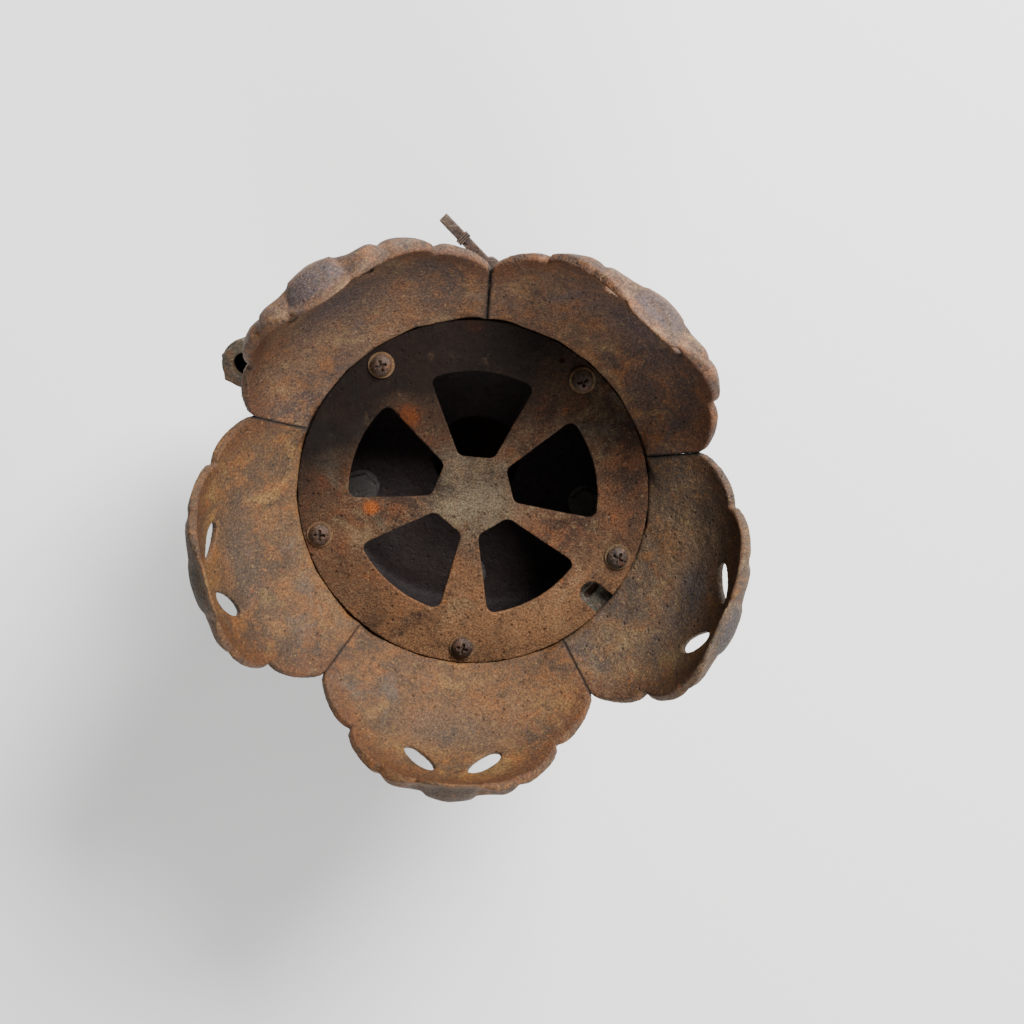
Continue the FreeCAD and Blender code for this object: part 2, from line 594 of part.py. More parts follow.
def make_elbow():
    """Cast angle fitting with a banded socket each way, bored for the nipple and the bushing."""
    body = new_body("filler_elbow")
    outward = FreeCAD.Rotation(Z_AXIS, V(1, 0, 0))
    level, mouth = dim("filler_level"), dim("filler_mouth_radius")
    inlet = FreeCAD.Placement(V(dim("elbow_start"), 0, level), outward)
    band_place = at(dim("elbow_top") - dim("socket_length"), mouth)
    solids = (
        ("upright", at(dim("elbow_bottom"), mouth), "Dims.elbow_radius",
         "Dims.elbow_top - Dims.elbow_bottom"),
        ("arm", inlet, "Dims.elbow_arm_radius", "Dims.filler_mouth_radius - Dims.elbow_start"),
        ("inlet_band", inlet, "Dims.socket_radius", "Dims.socket_length"),
        ("outlet_band", band_place, "Dims.socket_radius", "Dims.socket_length"))
    for name, place, radius, height in solids:
        piece = body.newObject("PartDesign::AdditiveCylinder", name)
        piece.Placement = place
        bind(piece, Radius=radius, Height=height)
    heel = body.newObject("PartDesign::AdditiveCone", "heel")
    heel.Placement = at(dim("elbow_heel"), mouth)
    bind(heel, Radius1="Dims.elbow_heel_radius", Radius2="Dims.elbow_radius",
         Height="Dims.elbow_bottom - Dims.elbow_heel")
    outlet_socket = at(dim("elbow_top") - dim("socket_depth"), mouth)
    cuts = (
        ("inlet_socket", inlet, "Dims.pipe_fit_radius", "Dims.nipple_end - Dims.elbow_start"),
        ("outlet_socket", outlet_socket, "Dims.pipe_fit_radius", "Dims.socket_depth"),
        ("outlet_bore", at(dim("elbow_sump"), mouth), "Dims.elbow_bore",
         "Dims.elbow_top - Dims.elbow_sump"),
        ("inlet_bore", inlet, "Dims.pipe_bore", "Dims.filler_mouth_radius - Dims.elbow_start"))
    for name, place, radius, height in cuts:
        hole = body.newObject("PartDesign::SubtractiveCylinder", name)
        hole.Placement = place
        bind(hole, Radius=radius, Height=height)
    body.Placement = turned(dim("filler_angle"))
    return body


def make_tie_pin():
    """Riveted pin that carries the tie arm on the pot's lug."""
    pivot = turned(dim("pivot_angle"), dim("pivot_circle")).Base
    spot = {name: FreeCAD.Placement(pivot + V(0, 0, dim(name)), FreeCAD.Rotation())
            for name in ("pin_tail", "pin_head_level")}
    shank = primitive("Cylinder", "pin_shank", spot["pin_tail"], Radius="Dims.pin_radius",
                      Height="Dims.pin_head_level - Dims.pin_tail")
    head = primitive("Cylinder", "pin_head", spot["pin_head_level"],
                     Radius="Dims.pin_head_radius", Height="Dims.pin_head_height")
    tail = primitive("Cylinder", "pin_peened_tail", spot["pin_tail"],
                     Radius="Dims.pin_tail_radius", Height="Dims.tie_lug_bottom - Dims.pin_tail")
    return boolean("Fuse", "tie_pin", boolean("Fuse", "pin_headed", shank, head), tail)


def make_tie_arm():
    """Square bar with a drilled eye that swings on the pin."""
    body = new_body("tie_arm")
    eye = new_sketch(body, "eye_disc", "XY_Plane", "arm_bottom")
    draw_circle(eye, "tie_eye_radius")
    pad(body, "arm_eye", eye, "Dims.arm_thickness")
    bar = body.newObject("PartDesign::AdditiveBox", "arm_bar")
    half = dim("arm_thickness") / 2
    bar.Placement = FreeCAD.Placement(V(3, -half, dim("arm_bottom")), FreeCAD.Rotation())
    bind(bar, Length="Dims.arm_length - 3", Width="Dims.arm_thickness", Height="Dims.arm_thickness")
    hole = new_sketch(body, "arm_hole_mark", "XY_Plane")
    draw_circle(hole, "pin_hole_radius")
    through_cut(body, "arm_hole", hole)
    body.Placement = arm_placement()
    return body


def arm_placement():
    pivot = turned(dim("pivot_angle"), dim("pivot_circle")).Base
    return FreeCAD.Placement(pivot, FreeCAD.Rotation(Z_AXIS, dim("arm_angle")))


def make_tie_wire():
    """Binding wire wound in square turns round the tie arm."""
    half = dim("arm_thickness") / 2 + dim("wire_radius")
    level = dim("arm_bottom") + dim("arm_thickness") / 2
    turns = []
    for step in range(int(dim("wire_turns"))):
        along = dim("wire_station") + (step - 1) * dim("wire_pitch")
        corners = [V(along, y, level + z) for y, z in
                   ((half, half), (-half, half), (-half, -half), (half, -half), (half, half))]
        turns.append(wire_loop(corners))
    item = doc.addObject("Part::Feature", "tie_wire")
    item.Label = "tie_wire"
    item.Shape = Part.makeCompound(turns)
    item.Placement = arm_placement()
    return item


def wire_loop(corners):
    """One square turn: four straight rods joined by balls at the corners."""
    radius = dim("wire_radius")
    pieces = []
    for start, end in zip(corners, corners[1:]):
        way = end - start
        pieces.append(Part.makeCylinder(radius, way.Length, start, way))
        pieces.append(Part.makeSphere(radius, start))
    return pieces[0].fuse(pieces[1:]).removeSplitter()


def check_and_export(parts):
    """Stop on any failed feature or bad shape, then write every part."""
    doc.recompute()
    for item in doc.Objects:
        if "Invalid" in item.State or "Error" in item.State:
            raise RuntimeError(f"{item.Name} failed: {item.State}")
    os.makedirs("parts", exist_ok=True)
    for item in parts:
        shape = item.Shape
        if shape.isNull() or not shape.isValid():
            raise RuntimeError(f"{item.Label} has no valid shape")
        shape.exportStep(f"parts/{item.Label}.step")
        print(f"{item.Label}: {shape.Volume / 1000:.2f} cm3, {len(shape.Solids)} solid(s)")


def main():
    floor_places = [turned(angle, dim("floor_bolt_circle"))
                    for angle in evenly(dim("floor_bolt_count"), FLOOR_BOLT_START)]
    base_places = [turned(angle, dim("base_bolt_circle"))
                   for angle in evenly(dim("base_bolt_count"), BASE_BOLT_START)]
    parts = [make_petal(number, middle, screw) for number, (middle, screw)
             in enumerate(zip(PETAL_ANGLES, SCREW_ANGLES), start=1)]
    parts += [make_drain_plate(), make_seat_ring(), make_pot_body(), make_gasket(),
              make_column(), make_foot(), make_plate_screws(), make_plate_washers()]
    parts += make_bolt_set("floor", dim("floor_top"), dim("floor_bolt_end"), floor_places,
                           nut_top=dim("column_head_bottom"))
    parts += make_bolt_set("base", dim("column_base_top"), dim("base_bolt_tip"), base_places)
    parts += make_filler() + [make_tie_pin(), make_tie_arm(), make_tie_wire()]
    check_and_export(parts)


main()
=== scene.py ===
"""Looks of the flower-form bulb planter: weathered cast iron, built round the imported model."""

import math

import bmesh
import bpy
from mathutils import Matrix, Vector, noise


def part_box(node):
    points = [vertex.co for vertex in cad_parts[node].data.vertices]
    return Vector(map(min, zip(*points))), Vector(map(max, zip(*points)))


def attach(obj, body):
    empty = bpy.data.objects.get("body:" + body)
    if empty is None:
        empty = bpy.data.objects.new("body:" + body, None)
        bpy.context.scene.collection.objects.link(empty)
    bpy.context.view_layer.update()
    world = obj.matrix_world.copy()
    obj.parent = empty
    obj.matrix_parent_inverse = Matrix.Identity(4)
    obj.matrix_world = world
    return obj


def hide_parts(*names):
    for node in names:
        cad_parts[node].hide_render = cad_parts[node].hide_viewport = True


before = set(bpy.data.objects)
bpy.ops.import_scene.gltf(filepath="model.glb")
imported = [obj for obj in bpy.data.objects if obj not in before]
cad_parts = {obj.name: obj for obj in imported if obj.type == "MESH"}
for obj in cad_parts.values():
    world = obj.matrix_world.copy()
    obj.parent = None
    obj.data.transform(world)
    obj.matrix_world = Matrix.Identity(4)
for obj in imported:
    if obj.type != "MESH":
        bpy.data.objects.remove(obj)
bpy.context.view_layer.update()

MM = 0.001
PLATE_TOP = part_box("drain_plate")[1].z
PETALS = [f"petal_{number}" for number in range(1, 6)]
# fresh rust on the plate: place across it and size, in millimetres
RUST_BLOTCHES = (((-29, 36), 6.5), ((1, 77), 5.0), ((-46, -6), 4.0), ((22, 13), 4.0))
# steps between the pieces' noise seeds
CASTING_SEED, PIECE_SEED = 3.7, 1.9
# colours that all the rusty materials share
FRESH_RUST, BLOTCH_RUST = (0.24, 0.066, 0.012), (0.200, 0.050, 0.008)
SPECKLE = ((0.60, 0.58, 0.57), (1.50, 1.47, 1.42))
# near-black of the pot's inside: wet iron darkened further as painted shade
WET_BLACK_AND_SHADE = (0.020, 0.015, 0.016)
# lamps: place and size in metres, power in watts
LAMPS = (("key", (0.773, 1.19, 1.288), 0.8, 112), ("fill", (0.395, -1.474, 1.134), 1.2, 34))
WORLD_STRENGTH = 0.32
FLOOR_SIZE = 12
FLOOR_TONES = (0.86, 0.86, 0.855), (0.88, 0.88, 0.875)
# camera: distance, sideways and upward shift in metres, and lens in millimetres
CAMERA_DISTANCE, CAMERA_TILT = 0.9, math.radians(13)
CAMERA_SHIFT, CAMERA_LENS, SENSOR_WIDTH = (0.0176, -0.0077), 70.3, 36


# ---------------------------------------------------------------- meshes

def copy_of_node(name, piece):
    """A new mesh object with the CAD node's surface, welded shut."""
    mesh = bpy.data.meshes.new(piece)
    work = bmesh.new()
    work.from_mesh(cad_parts[name].data)
    bmesh.ops.remove_doubles(work, verts=work.verts, dist=0.002 * MM)
    work.to_mesh(mesh)
    work.free()
    made = bpy.data.objects.new(piece, mesh)
    bpy.context.scene.collection.objects.link(made)
    return made


def apply_modifiers(made):
    """Replace the object's mesh by its modified one."""
    bpy.context.view_layer.update()
    graph = bpy.context.evaluated_depsgraph_get()
    mesh = bpy.data.meshes.new_from_object(made.evaluated_get(graph))
    made.modifiers.clear()
    old = made.data
    made.data = mesh
    bpy.data.meshes.remove(old)


def cast_surface(made, voxel, rounding):
    """Even quads with softened edges, as a sand casting has."""
    remesh = made.modifiers.new("even_quads", "REMESH")
    remesh.mode = "VOXEL"
    remesh.voxel_size = voxel
    remesh.use_smooth_shade = True
    soften = made.modifiers.new("soft_edges", "SMOOTH")
    soften.factor = 0.5
    soften.iterations = rounding
    apply_modifiers(made)


def pit(made, swell, pits, seed):
    """Push the surface in and out: broad unevenness, rust blisters and small sharp pits."""
    work = bmesh.new()
    work.from_mesh(made.data)
    work.normal_update()
    shift = Vector((seed, -seed, seed * 0.5))
    for vertex in work.verts:
        spot = vertex.co + shift
        broad = noise.fractal(spot * 45, 0.7, 2.0, 3)
        fine = noise.fractal(spot * 420, 0.8, 2.1, 3)
        sharp = max(0.0, noise.noise(spot * 300) - 0.35)
        vertex.co += vertex.normal * (swell * broad + pits * (0.45 * fine - 1.6 * sharp))
    work.to_mesh(made.data)
    work.free()


def weathered(name, voxel, rounding, swell, pits, seed):
    """A cast and rusted stand-in for one CAD node."""
    made = copy_of_node(name, f"{name}_rusted")
    cast_surface(made, voxel * MM, rounding)
    pit(made, swell * MM, pits * MM, seed)
    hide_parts(name)
    return made


# ---------------------------------------------------------------- petals

# A petal is drawn in its own frame: outward, sideways and up from the plate's top, in millimetres.
PETAL_MIDDLES = (48.6, 122.0, 193.7, 265.3, 336.8)
ROOT_RADIUS, VALLEY_RADIUS, VALLEY_HEIGHT = 79.5, 98.0, 14.0
BOWL_CENTRE, BOWL_RADIUS = (71.75, 49.0), 43.75
ROOT_DEPTH = -5.6
SEAM_ANGLE = math.radians(36.0)
FAN_CENTRE = 14.0
# rim corners as sideways and up, and how far the lobe before each corner swells
RIM = (((59.4, 16.5), 0.0), ((45.0, 31.0), 4.0), ((30.0, 52.5), 4.0), ((14.3, 62.0), 2.6))
CROWN_SWELL = 7.0
# swell of the back by bearing from the root, and the bearings of the grooves between its lobes
BACK_SWELL = ((0, 1.0), (18, 2.0), (43, 3.6), (68, 5.0), (80, 7.0), (90, 8.0))
GROOVES, GROOVE_DEPTH, GROOVE_WIDTH = (35.6, 60.4, 76.8), 2.2, 2.2
EYE_PLACE, EYE_SIZE, EYE_TILT = (14.6, 36.5), (4.5, 11.5), 34.0
EYE_SLOPE = math.radians(52)
# radius where the eyes' cutters stand, radius for their swing, and their length
EYE_RADIUS, EYE_SWING, EYE_CUT = 113.5, 114, 44
WALL, CROWN_EDGE = 4.0, 2.6
LUG_SIZE, LUG_PLACE = (20.0, 24.0, 3.6), (73.5, 0, -4.2)
PETAL_VOXEL, PETAL_ROUNDING, PETAL_SWELL, PETAL_PITS = 0.85, 5, 0.4, 0.14
# rows of points from the fan's centre to the rim
RINGS = 30
# height and half sizes of the worn valley
WORN_HEIGHT, WORN_UP, WORN_ACROSS = 22, 8, 26
# rust colours of the castings, each one's tint, partly its own colour and partly painted light and
# shade for the way it faces the lamps, and its amount of fresh rust
PETAL_COLOURS = {"base": (0.100, 0.054, 0.020), "dark": (0.042, 0.025, 0.013),
                 "warm": (0.122, 0.050, 0.012), "pale": (0.165, 0.102, 0.032),
                 "cool": (0.040, 0.034, 0.027), "lip": (0.066, 0.025, 0.007)}
PETAL_TINTS_AND_LIGHT = ((1.15, 1.12, 1.60), (1.02, 1.04, 1.50), (0.90, 0.84, 0.82), (0.95, 0.86, 0.80),
               (0.88, 0.98, 1.35))
PETAL_ORANGE = (0.15, 0.2, 0.4, 0.4, 0.3)
# share of the pattern's back that each casting kept, and its half widths in degrees each way
BACK_SHARES = (0.65, 1.0, 0.45, 0.85, 0.5)
HALF_WIDTHS = ((36.0, 36.7), (36.7, 36.0), (36.0, 36.15), (36.1, 36.0), (36.0, 36.0))


def bowl_radius(height):
    """Radius of the petal's inside at a height over the plate."""
    if height <= 0:
        return ROOT_RADIUS
    if height <= VALLEY_HEIGHT:
        return ROOT_RADIUS + (VALLEY_RADIUS - ROOT_RADIUS) * height / VALLEY_HEIGHT
    rise = height - BOWL_CENTRE[1]
    return BOWL_CENTRE[0] + math.sqrt(max(0.0, BOWL_RADIUS ** 2 - rise ** 2))


def bowl_normal(height):
    """Outward direction of the shell's section, as radius and height parts."""
    step = 0.5
    change = bowl_radius(height + step) - bowl_radius(height - step)
    length = math.hypot(2 * step, change)
    return 2 * step / length, -change / length


def rim_outline():
    """Closed outline of the petal seen from the front, as bearings and distances from its middle."""
    side = [(ROOT_RADIUS * math.sin(SEAM_ANGLE) * share, ROOT_DEPTH) for share in (0.0, 0.5, 1.0)]
    side.append((ROOT_RADIUS * math.sin(SEAM_ANGLE), 0.0))
    side += swollen(side[-1], RIM[0][0], 0.0, 6)
    for (start, _), (end, swell) in zip(RIM, RIM[1:]):
        side += swollen(start, end, swell, 14)
    side += swollen(RIM[-1][0], (-RIM[-1][0][0], RIM[-1][0][1]), CROWN_SWELL, 20)[:10]
    mirrored = [(-across, up) for across, up in reversed(side[1:-1])]
    return side + mirrored


def swollen(start, end, swell, count):
    """Points from start to end, without the start, on a bulging line."""
    points = []
    span = Vector(end) - Vector(start)
    outward = Vector((span.y, -span.x)).normalized()
    for step in range(1, count + 1):
        share = step / count
        bulge = math.sqrt(max(0.0, 1 - (2 * share - 1) ** 2))
        spot = Vector(start) + span * share + outward * swell * bulge
        points.append((spot.x, spot.y))
    return points


def back_relief(across, height):
    """How far the lobes on the back stand out from the plain shell."""
    bearing = math.degrees(math.atan2(height + 2.0, abs(across)))
    reach = math.hypot(across, height + 2.0)
    swell = 0.0
    for (low, first), (high, second) in zip(BACK_SWELL, BACK_SWELL[1:]):
        if low <= bearing <= high:
            swell = first + (second - first) * (bearing - low) / (high - low)
    for groove in GROOVES:
        away = math.radians(bearing - groove) * reach / GROOVE_WIDTH
        runs_out = smooth_step(reach, 54, 64) if groove == GROOVES[-1] else 1.0
        swell -= GROOVE_DEPTH * runs_out * math.exp(-away * away)
    eye_way = math.hypot(abs(across) - EYE_PLACE[0], (height - EYE_PLACE[1] + 3) / 1.4)
    return swell * smooth_step(reach, 16, 46) * smooth_step(eye_way, 7, 14)


def back_depth(across, height, edge):
    """Thickness of the casting at a distance from its rim; the crown's rim is thin and undercut."""
    bearing = math.degrees(math.atan2(height + 2.0, abs(across)))
    crown = smooth_step(bearing, 66, 80) * smooth_step(height, 30, 45)
    wall = WALL * (0.75 + 0.25 * smooth_step(edge, 0, 3)) * (1 - crown)
    wall += crown * (CROWN_EDGE + (WALL - CROWN_EDGE) * smooth_step(edge, 1, 9))
    fade = (1 - crown) * (0.4 + 0.6 * smooth_step(edge, 0, 6)) + crown * smooth_step(edge, 3, 15)
    lug_root = 2.4 * smooth_step(-height, -12, 0)
    return wall + back_relief(across, height) * fade + lug_root


def smooth_step(value, low, high):
    share = min(1.0, max(0.0, (value - low) / (high - low)))
    return share * share * (3 - 2 * share)


def shell_point(across, height, depth):
    """Point at a depth behind the petal's inside."""
    radius = bowl_radius(height)
    out, up = bowl_normal(height)
    middle = math.sqrt(max(1.0, radius ** 2 - across ** 2))
    facing = Vector((middle / radius * out, across / radius * out, up))
    return Vector((middle, across, height)) + facing * depth


def inner_depth(across, height):
    """Soft flutes inside the rim and a faint crease along the valley."""
    flute = 0.1 * back_relief(across, height) * smooth_step(height, 38, 60)
    crease = 0.5 * math.exp(-((height - 19) / 1.6) ** 2) * smooth_step(-abs(across), -26, -8)
    return flute + crease


def petal_solid(name):
    """Closed shell between the petal's inside and its lobed back, with its lug."""
    outline = rim_outline()
    work = bmesh.new()
    layers = []
    for behind in (False, True):
        grid = []
        for ring in range(1, RINGS + 1):
            share = ring / RINGS
            row = []
            for across, up in outline:
                spot = (across * share, FAN_CENTRE + (up - FAN_CENTRE) * share)
                depth = inner_depth(*spot)
                if behind:
                    edge = (1 - share) * math.hypot(across, up - FAN_CENTRE)
                    depth = back_depth(*spot, edge)
                row.append(work.verts.new(shell_point(*spot, depth)))
            grid.append(row)
        depth = WALL + back_relief(0, FAN_CENTRE) if behind else 0.0
        layers.append((work.verts.new(shell_point(0, FAN_CENTRE, depth)), grid))
    count = len(outline)
    for behind, (centre, grid) in enumerate(layers):
        for index in range(count):
            after = (index + 1) % count
            faces = [(centre, grid[0][index], grid[0][after])]
            for inner, outer in zip(grid, grid[1:]):
                faces.append((inner[index], outer[index], outer[after], inner[after]))
            for face in faces:
                work.faces.new(reversed(face) if behind else face)
    front, back = layers[0][1][-1], layers[1][1][-1]
    for index in range(count):
        after = (index + 1) % count
        work.faces.new((front[index], back[index], back[after], front[after]))
    lug = bmesh.ops.create_cube(work, size=1.0)["verts"]
    bmesh.ops.scale(work, vec=LUG_SIZE, verts=lug)
    bmesh.ops.translate(work, vec=LUG_PLACE, verts=lug)
    bmesh.ops.recalc_face_normals(work, faces=work.faces)
    mesh = bpy.data.meshes.new(name)
    work.to_mesh(mesh)
    work.free()
    made = bpy.data.objects.new(name, mesh)
    bpy.context.scene.collection.objects.link(made)
    return made


def cut_eyes(petal):
    """Two slanting almond holes that lean together towards the rim."""
    for sign in (1, -1):
        work = bmesh.new()
        bmesh.ops.create_cone(work, cap_ends=True, segments=40, radius1=1, radius2=1,
                              depth=EYE_CUT)
        bmesh.ops.scale(work, vec=(EYE_SIZE[0], EYE_SIZE[1], 1), verts=work.verts)
        turn = Matrix.Rotation(math.radians(sign * EYE_TILT), 4, "Z")
        stand = Matrix(((0, 0, 1, 0), (1, 0, 0, 0), (0, 1, 0, 0), (0, 0, 0, 1)))
        swing = Matrix.Rotation(sign * math.asin(EYE_PLACE[0] / EYE_SWING), 4, "Z")
        slope = Matrix.Identity(4)
        slope[2][0] = -math.tan(EYE_SLOPE)
        place = Matrix.Translation((EYE_RADIUS, sign * EYE_PLACE[0], EYE_PLACE[1]))
        bmesh.ops.transform(work, matrix=place @ swing @ slope @ stand @ turn, verts=work.verts)
        mesh = bpy.data.meshes.new("eye_cutter")
        work.to_mesh(mesh)
        work.free()
        cutter = bpy.data.objects.new("eye_cutter", mesh)
        bpy.context.scene.collection.objects.link(cutter)
        cut = petal.modifiers.new("eye", "BOOLEAN")
        cut.operation = "DIFFERENCE"
        cut.solver = "EXACT"
        cut.object = cutter
        apply_modifiers(petal)
        bpy.data.objects.remove(cutter)
        bpy.data.meshes.remove(mesh)


def mark_wear_and_shade(made):
    """Attributes from 0 to 1: worn hollows, the rusty lip inside the rim, painted shade along the
    seams.
    """
    hollow, lip, painted_shade = [], [], []
    for vertex in made.data.vertices:
        out, across, height = vertex.co
        behind = math.hypot(out, across) - bowl_radius(height)
        front = 1 - smooth_step(behind, 0.5, 2.5)
        valley = math.exp(-((height - WORN_HEIGHT) / WORN_UP) ** 2 - (across / WORN_ACROSS) ** 2)
        scoop = smooth_step(behind, 2.5, 5) * smooth_step(height, 52, 60)
        scoop *= 1 - smooth_step(abs(across), 8, 20)
        hollow.append(max(valley * front, scoop))
        limit = 66 - 0.0135 * across ** 2
        lip.append(front * smooth_step(height - limit, -20, -6))
        # painted shade: darker towards the seams, between neighbouring petals
        to_seam = (SEAM_ANGLE - abs(math.atan2(across, out))) * math.hypot(out, across)
        painted_shade.append(1 - smooth_step(to_seam, 0.4, 1.6))
    for name, values in (("hollow", hollow), ("lip", lip), ("painted_shade", painted_shade)):
        layer = made.data.attributes.new(name, "FLOAT", "POINT")
        layer.data.foreach_set("value", values)


def fit_casting(petal, back_share, half_widths):
    """Thin the pattern's back and widen its sides, as the single castings differ."""
    for vertex in petal.data.vertices:
        out, across, height = vertex.co
        radius, angle = math.hypot(out, across), math.atan2(across, out)
        inside = bowl_radius(height) + WALL
        if radius > inside and height > 0:
            radius = inside + (radius - inside) * back_share
        wanted = math.radians(half_widths[0] if across < 0 else half_widths[1])
        angle *= 1 + (wanted / SEAM_ANGLE - 1) * smooth_step(abs(angle), 0.2, 0.5)
        vertex.co.x, vertex.co.y = radius * math.cos(angle), radius * math.sin(angle)


def make_petals(materials):
    """One casting pattern, five castings: each gets its own unevenness and pits."""
    pattern = petal_solid("petal_pattern")
    cut_eyes(pattern)
    cast_surface(pattern, PETAL_VOXEL, PETAL_ROUNDING)
    mark_wear_and_shade(pattern)
    for number, (name, middle) in enumerate(zip(PETALS, PETAL_MIDDLES)):
        petal = bpy.data.objects.new(f"{name}_casting", pattern.data.copy())
        bpy.context.scene.collection.objects.link(petal)
        fit_casting(petal, BACK_SHARES[number], HALF_WIDTHS[number])
        turn = Matrix.Rotation(math.radians(middle), 4, "Z")
        petal.data.transform(Matrix.Translation((0, 0, PLATE_TOP)) @ turn @ Matrix.Scale(MM, 4))
        pit(petal, PETAL_SWELL * MM, PETAL_PITS * MM, number * CASTING_SEED)
        petal.data.materials.append(materials[number])
        petal.data.shade_smooth()
        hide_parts(name)
        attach(petal, "planter")
    bpy.data.objects.remove(pattern)


# ---------------------------------------------------------------- materials

class Shader:
    """Short way to build one node material."""

    def __init__(self, name):
        self.material = bpy.data.materials.new(name)
        self.material.use_nodes = True
        self.tree = self.material.node_tree
        self.tree.nodes.clear()
        self.surface = self.add("ShaderNodeBsdfPrincipled")
        output = self.add("ShaderNodeOutputMaterial")
        self.link(self.surface.outputs[0], output.inputs[0])
        self.place = self.add("ShaderNodeTexCoord").outputs["Object"]

    def add(self, kind):
        return self.tree.nodes.new(kind)

    def link(self, source, target):
        self.tree.links.new(source, target)

    def noise(self, scale, detail=6.0, roughness=0.6, warp=0.0, offset=(0, 0, 0)):
        """Fractal noise from 0 to 1 in object space."""
        shift = self.add("ShaderNodeVectorMath")
        shift.operation = "ADD"
        shift.inputs[1].default_value = offset
        self.link(self.place, shift.inputs[0])
        node = self.add("ShaderNodeTexNoise")
        node.inputs["Scale"].default_value = scale
        node.inputs["Detail"].default_value = detail
        node.inputs["Roughness"].default_value = roughness
        node.inputs["Distortion"].default_value = warp
        self.link(shift.outputs[0], node.inputs["Vector"])
        return node.outputs["Fac"]

    def cells(self, scale):
        """Distance to the nearest of scattered points, small at each spot's middle."""
        node = self.add("ShaderNodeTexVoronoi")
        node.inputs["Scale"].default_value = scale
        node.inputs["Randomness"].default_value = 1.0
        self.link(self.place, node.inputs["Vector"])
        return node.outputs["Distance"]

    def steps(self, factor, low, high):
        """Smooth 0 to 1 as the factor goes from low to high."""
        node = self.add("ShaderNodeMapRange")
        node.interpolation_type = "SMOOTHSTEP"
        node.inputs["From Min"].default_value = low
        node.inputs["From Max"].default_value = high
        self.link(factor, node.inputs["Value"])
        return node.outputs["Result"]

    def maths(self, operation, first, second):
        node = self.add("ShaderNodeMath")
        node.operation = operation
        for socket, value in zip(node.inputs, (first, second)):
            if isinstance(value, (int, float)):
                socket.default_value = value
            else:
                self.link(value, socket)
        return node.outputs[0]

    def mix(self, factor, first, second, kind="MIX"):
        """Blend two colours, each a tuple or a socket."""
        node = self.add("ShaderNodeMix")
        node.data_type = "RGBA"
        node.blend_type = kind
        if isinstance(factor, (int, float)):
            node.inputs[0].default_value = factor
        else:
            self.link(factor, node.inputs[0])
        for socket, value in zip((node.inputs[6], node.inputs[7]), (first, second)):
            if isinstance(value, tuple):
                socket.default_value = (*value, 1.0)
            else:
                self.link(value, socket)
        return node.outputs[2]

    def attribute(self, name):
        node = self.add("ShaderNodeAttribute")
        node.attribute_name = name
        return node.outputs["Fac"]

    def edges(self):
        """Rises on convex edges and falls in hollows, around 0.5."""
        return self.add("ShaderNodeNewGeometry").outputs["Pointiness"]

    def bump(self, height, distance, strength=1.0):
        node = self.add("ShaderNodeBump")
        node.inputs["Distance"].default_value = distance
        node.inputs["Strength"].default_value = strength
        self.link(height, node.inputs["Height"])
        self.link(node.outputs[0], self.surface.inputs["Normal"])

    def finish(self, colour, roughness, specular):
        self.link(colour, self.surface.inputs["Base Color"])
        self.link(roughness, self.surface.inputs["Roughness"])
        self.surface.inputs["Metallic"].default_value = 0.0
        self.surface.inputs["Specular IOR Level"].default_value = specular
        return self.material


